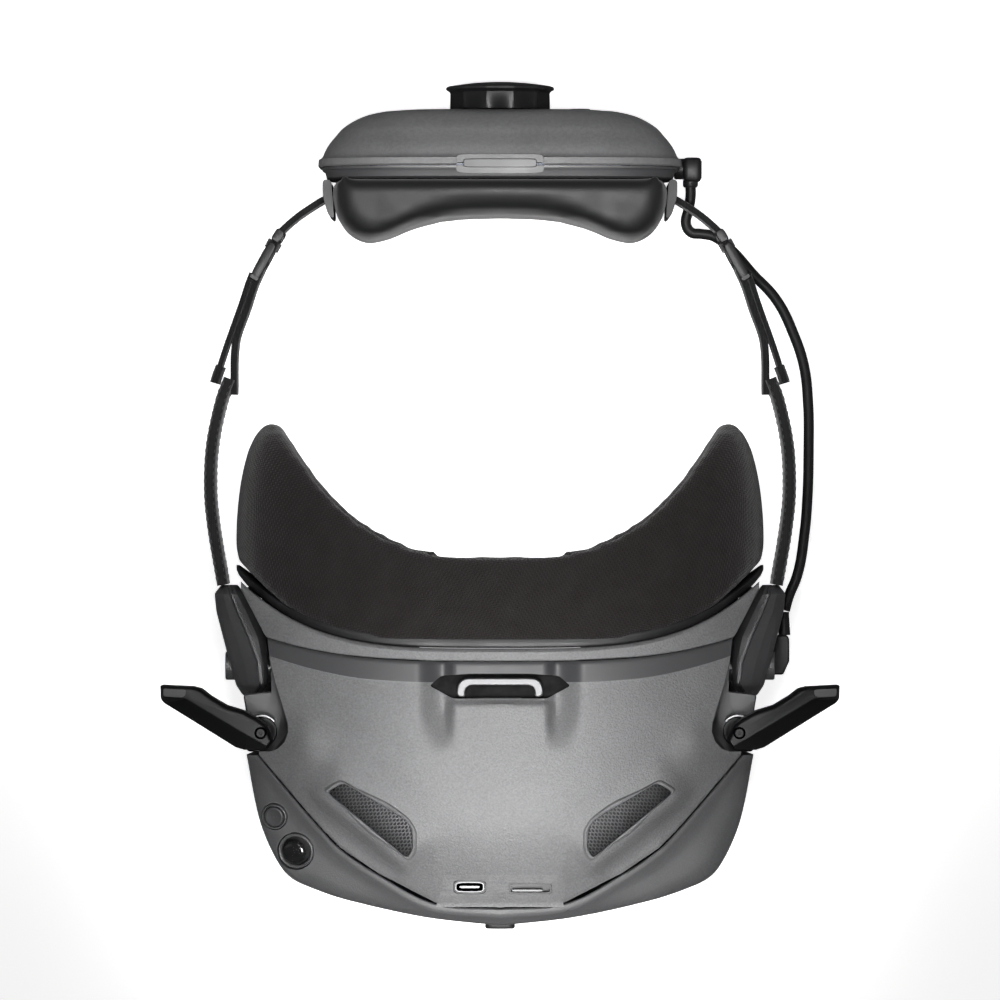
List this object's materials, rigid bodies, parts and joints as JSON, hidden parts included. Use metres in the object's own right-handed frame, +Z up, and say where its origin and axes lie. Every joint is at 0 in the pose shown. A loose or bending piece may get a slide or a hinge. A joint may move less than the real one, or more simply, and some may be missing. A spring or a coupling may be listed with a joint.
{
  "type": "fpv goggles",
  "caption": "Box-type video goggles for remote piloting, with a foam face pad, folding antennas, side controls and a headband that carries a battery pack.",
  "frame": {"origin": "middle of the footprint, on the plane that the visor and the battery pack stand on", "axes": "+Z up, the wearer looks along -Y, +X is the wearer's left"},
  "size_m": [0.2084, 0.263, 0.099],
  "materials": {
    "textured_shell": "fine grain moulded plastic",
    "dark_shell": "satin dark grey moulded plastic",
    "satin_trim": "satin grey plastic",
    "black_plastic": "black moulded plastic",
    "gloss_black": "polished black plastic",
    "knit_foam": "dark knit over foam",
    "soft_pad": "smooth soft skin over foam",
    "band_fabric": "dark stitched fabric",
    "webbing": "black woven webbing",
    "rubber": "black rubber",
    "aluminium": "satin aluminium",
    "steel_mesh": "pierced metal sheet",
    "lens_glass": "coated lens",
    "display_black": "dark display glass",
    "circuit_board": "green circuit board",
    "cell_wrap": "blue shrink wrap"
  },
  "bodies": {
    "visor": {"top_shell": "textured_shell", "port_plate": "textured_shell", "front_cover": "dark_shell", "mid_shell": "dark_shell", "bottom_shell": "dark_shell", "frame_trim": "satin_trim", "nose_bridge": "black_plastic", "face_frame": "black_plastic", "lens_panel": "black_plastic", "optics_hood": "black_plastic", "fan_housing": "black_plastic", "back_button_ring": "black_plastic", "joystick_bezel": "black_plastic", "card_socket": "black_plastic", "front_window": "gloss_black", "face_pad": "knit_foam", "strap_hook": "aluminium", "usb_socket": "aluminium", "heat_spreader": "aluminium", "antenna_hinge_left": "aluminium", "antenna_hinge_right": "aluminium", "arm_pivot_left": "aluminium", "arm_pivot_right": "aluminium", "vent_grille_left": "steel_mesh", "vent_grille_right": "steel_mesh", "lens_left": "lens_glass", "lens_right": "lens_glass", "display": "display_black", "main_board": "circuit_board"},
    "headband": {"arm_left": "dark_shell", "arm_right": "dark_shell", "band_left": "band_fabric", "band_right": "band_fabric", "webbing_left": "webbing", "webbing_right": "webbing", "buckle_left": "black_plastic", "buckle_right": "black_plastic", "slider_left": "black_plastic", "slider_right": "black_plastic", "strap_left": "webbing", "strap_right": "webbing", "strap_outlet_left": "gloss_black", "strap_outlet_right": "gloss_black", "battery_shell": "textured_shell", "battery_band": "satin_trim", "battery_pad": "soft_pad", "cell_pack": "cell_wrap", "power_plug": "rubber", "power_cable": "rubber", "cable_clip": "black_plastic"},
    "antenna_left": {"antenna_left": "black_plastic"},
    "antenna_right": {"antenna_right": "black_plastic"},
    "knob": {"tension_knob": "gloss_black", "ratchet_shaft": "black_plastic"},
    "power_button": {"power_button": "dark_shell"},
    "back_button": {"back_button": "black_plastic"},
    "joystick_switch": {"joystick_switch": "black_plastic"},
    "joystick_gimbal": {"joystick_gimbal": "black_plastic"},
    "joystick_cap": {"joystick_cap": "rubber"},
    "fan_rotor": {"fan_rotor": "black_plastic"}
  },
  "joints": [
    {"name": "headband_tilt", "type": "hinge", "parent": "visor", "child": "headband", "pos_m": [0, -0.052, 0.05], "axis": [1, 0, 0], "range_deg": [-20, 35]},
    {"name": "antenna_left_fold", "type": "hinge", "parent": "visor", "child": "antenna_left", "pos_m": [0.0734, -0.0709, 0.08], "axis": [0, 0, 1], "range_deg": [0, 50]},
    {"name": "antenna_right_fold", "type": "hinge", "parent": "visor", "child": "antenna_right", "pos_m": [-0.0734, -0.0709, 0.08], "axis": [0, 0, 1], "range_deg": [-50, 0]},
    {"name": "knob_turn", "type": "hinge", "parent": "headband", "child": "knob", "pos_m": [0, 0.126, 0.031], "axis": [0, 1, 0], "continuous": true},
    {"name": "power_button_press", "type": "slide", "parent": "headband", "child": "power_button", "axis": [0, 1, 0], "range_m": [-0.001, 0], "stiffness_N_per_m": 300},
    {"name": "back_button_press", "type": "slide", "parent": "visor", "child": "back_button", "axis": [-0.2333, -0.2024, 0.9511], "range_m": [-0.0008, 0], "stiffness_N_per_m": 300},
    {"name": "joystick_press", "type": "slide", "parent": "visor", "child": "joystick_switch", "axis": [-0.2333, -0.2024, 0.9511], "range_m": [-0.0006, 0], "stiffness_N_per_m": 400},
    {"name": "joystick_tilt_across", "type": "hinge", "parent": "joystick_switch", "child": "joystick_gimbal", "pos_m": [-0.06247, -0.1071, 0.08045], "axis": [0.6553, -0.7554, 0], "range_deg": [-8, 8], "stiffness_Nm_per_rad": 0.05},
    {"name": "joystick_tilt_along", "type": "hinge", "parent": "joystick_gimbal", "child": "joystick_cap", "pos_m": [-0.06247, -0.1071, 0.08045], "axis": [0.7184, 0.6233, 0.3089], "range_deg": [-8, 8], "stiffness_Nm_per_rad": 0.05},
    {"name": "fan_spin", "type": "hinge", "parent": "visor", "child": "fan_rotor", "pos_m": [0.022, -0.084, 0.0859], "axis": [0, 0, 1], "continuous": true}
  ]
}
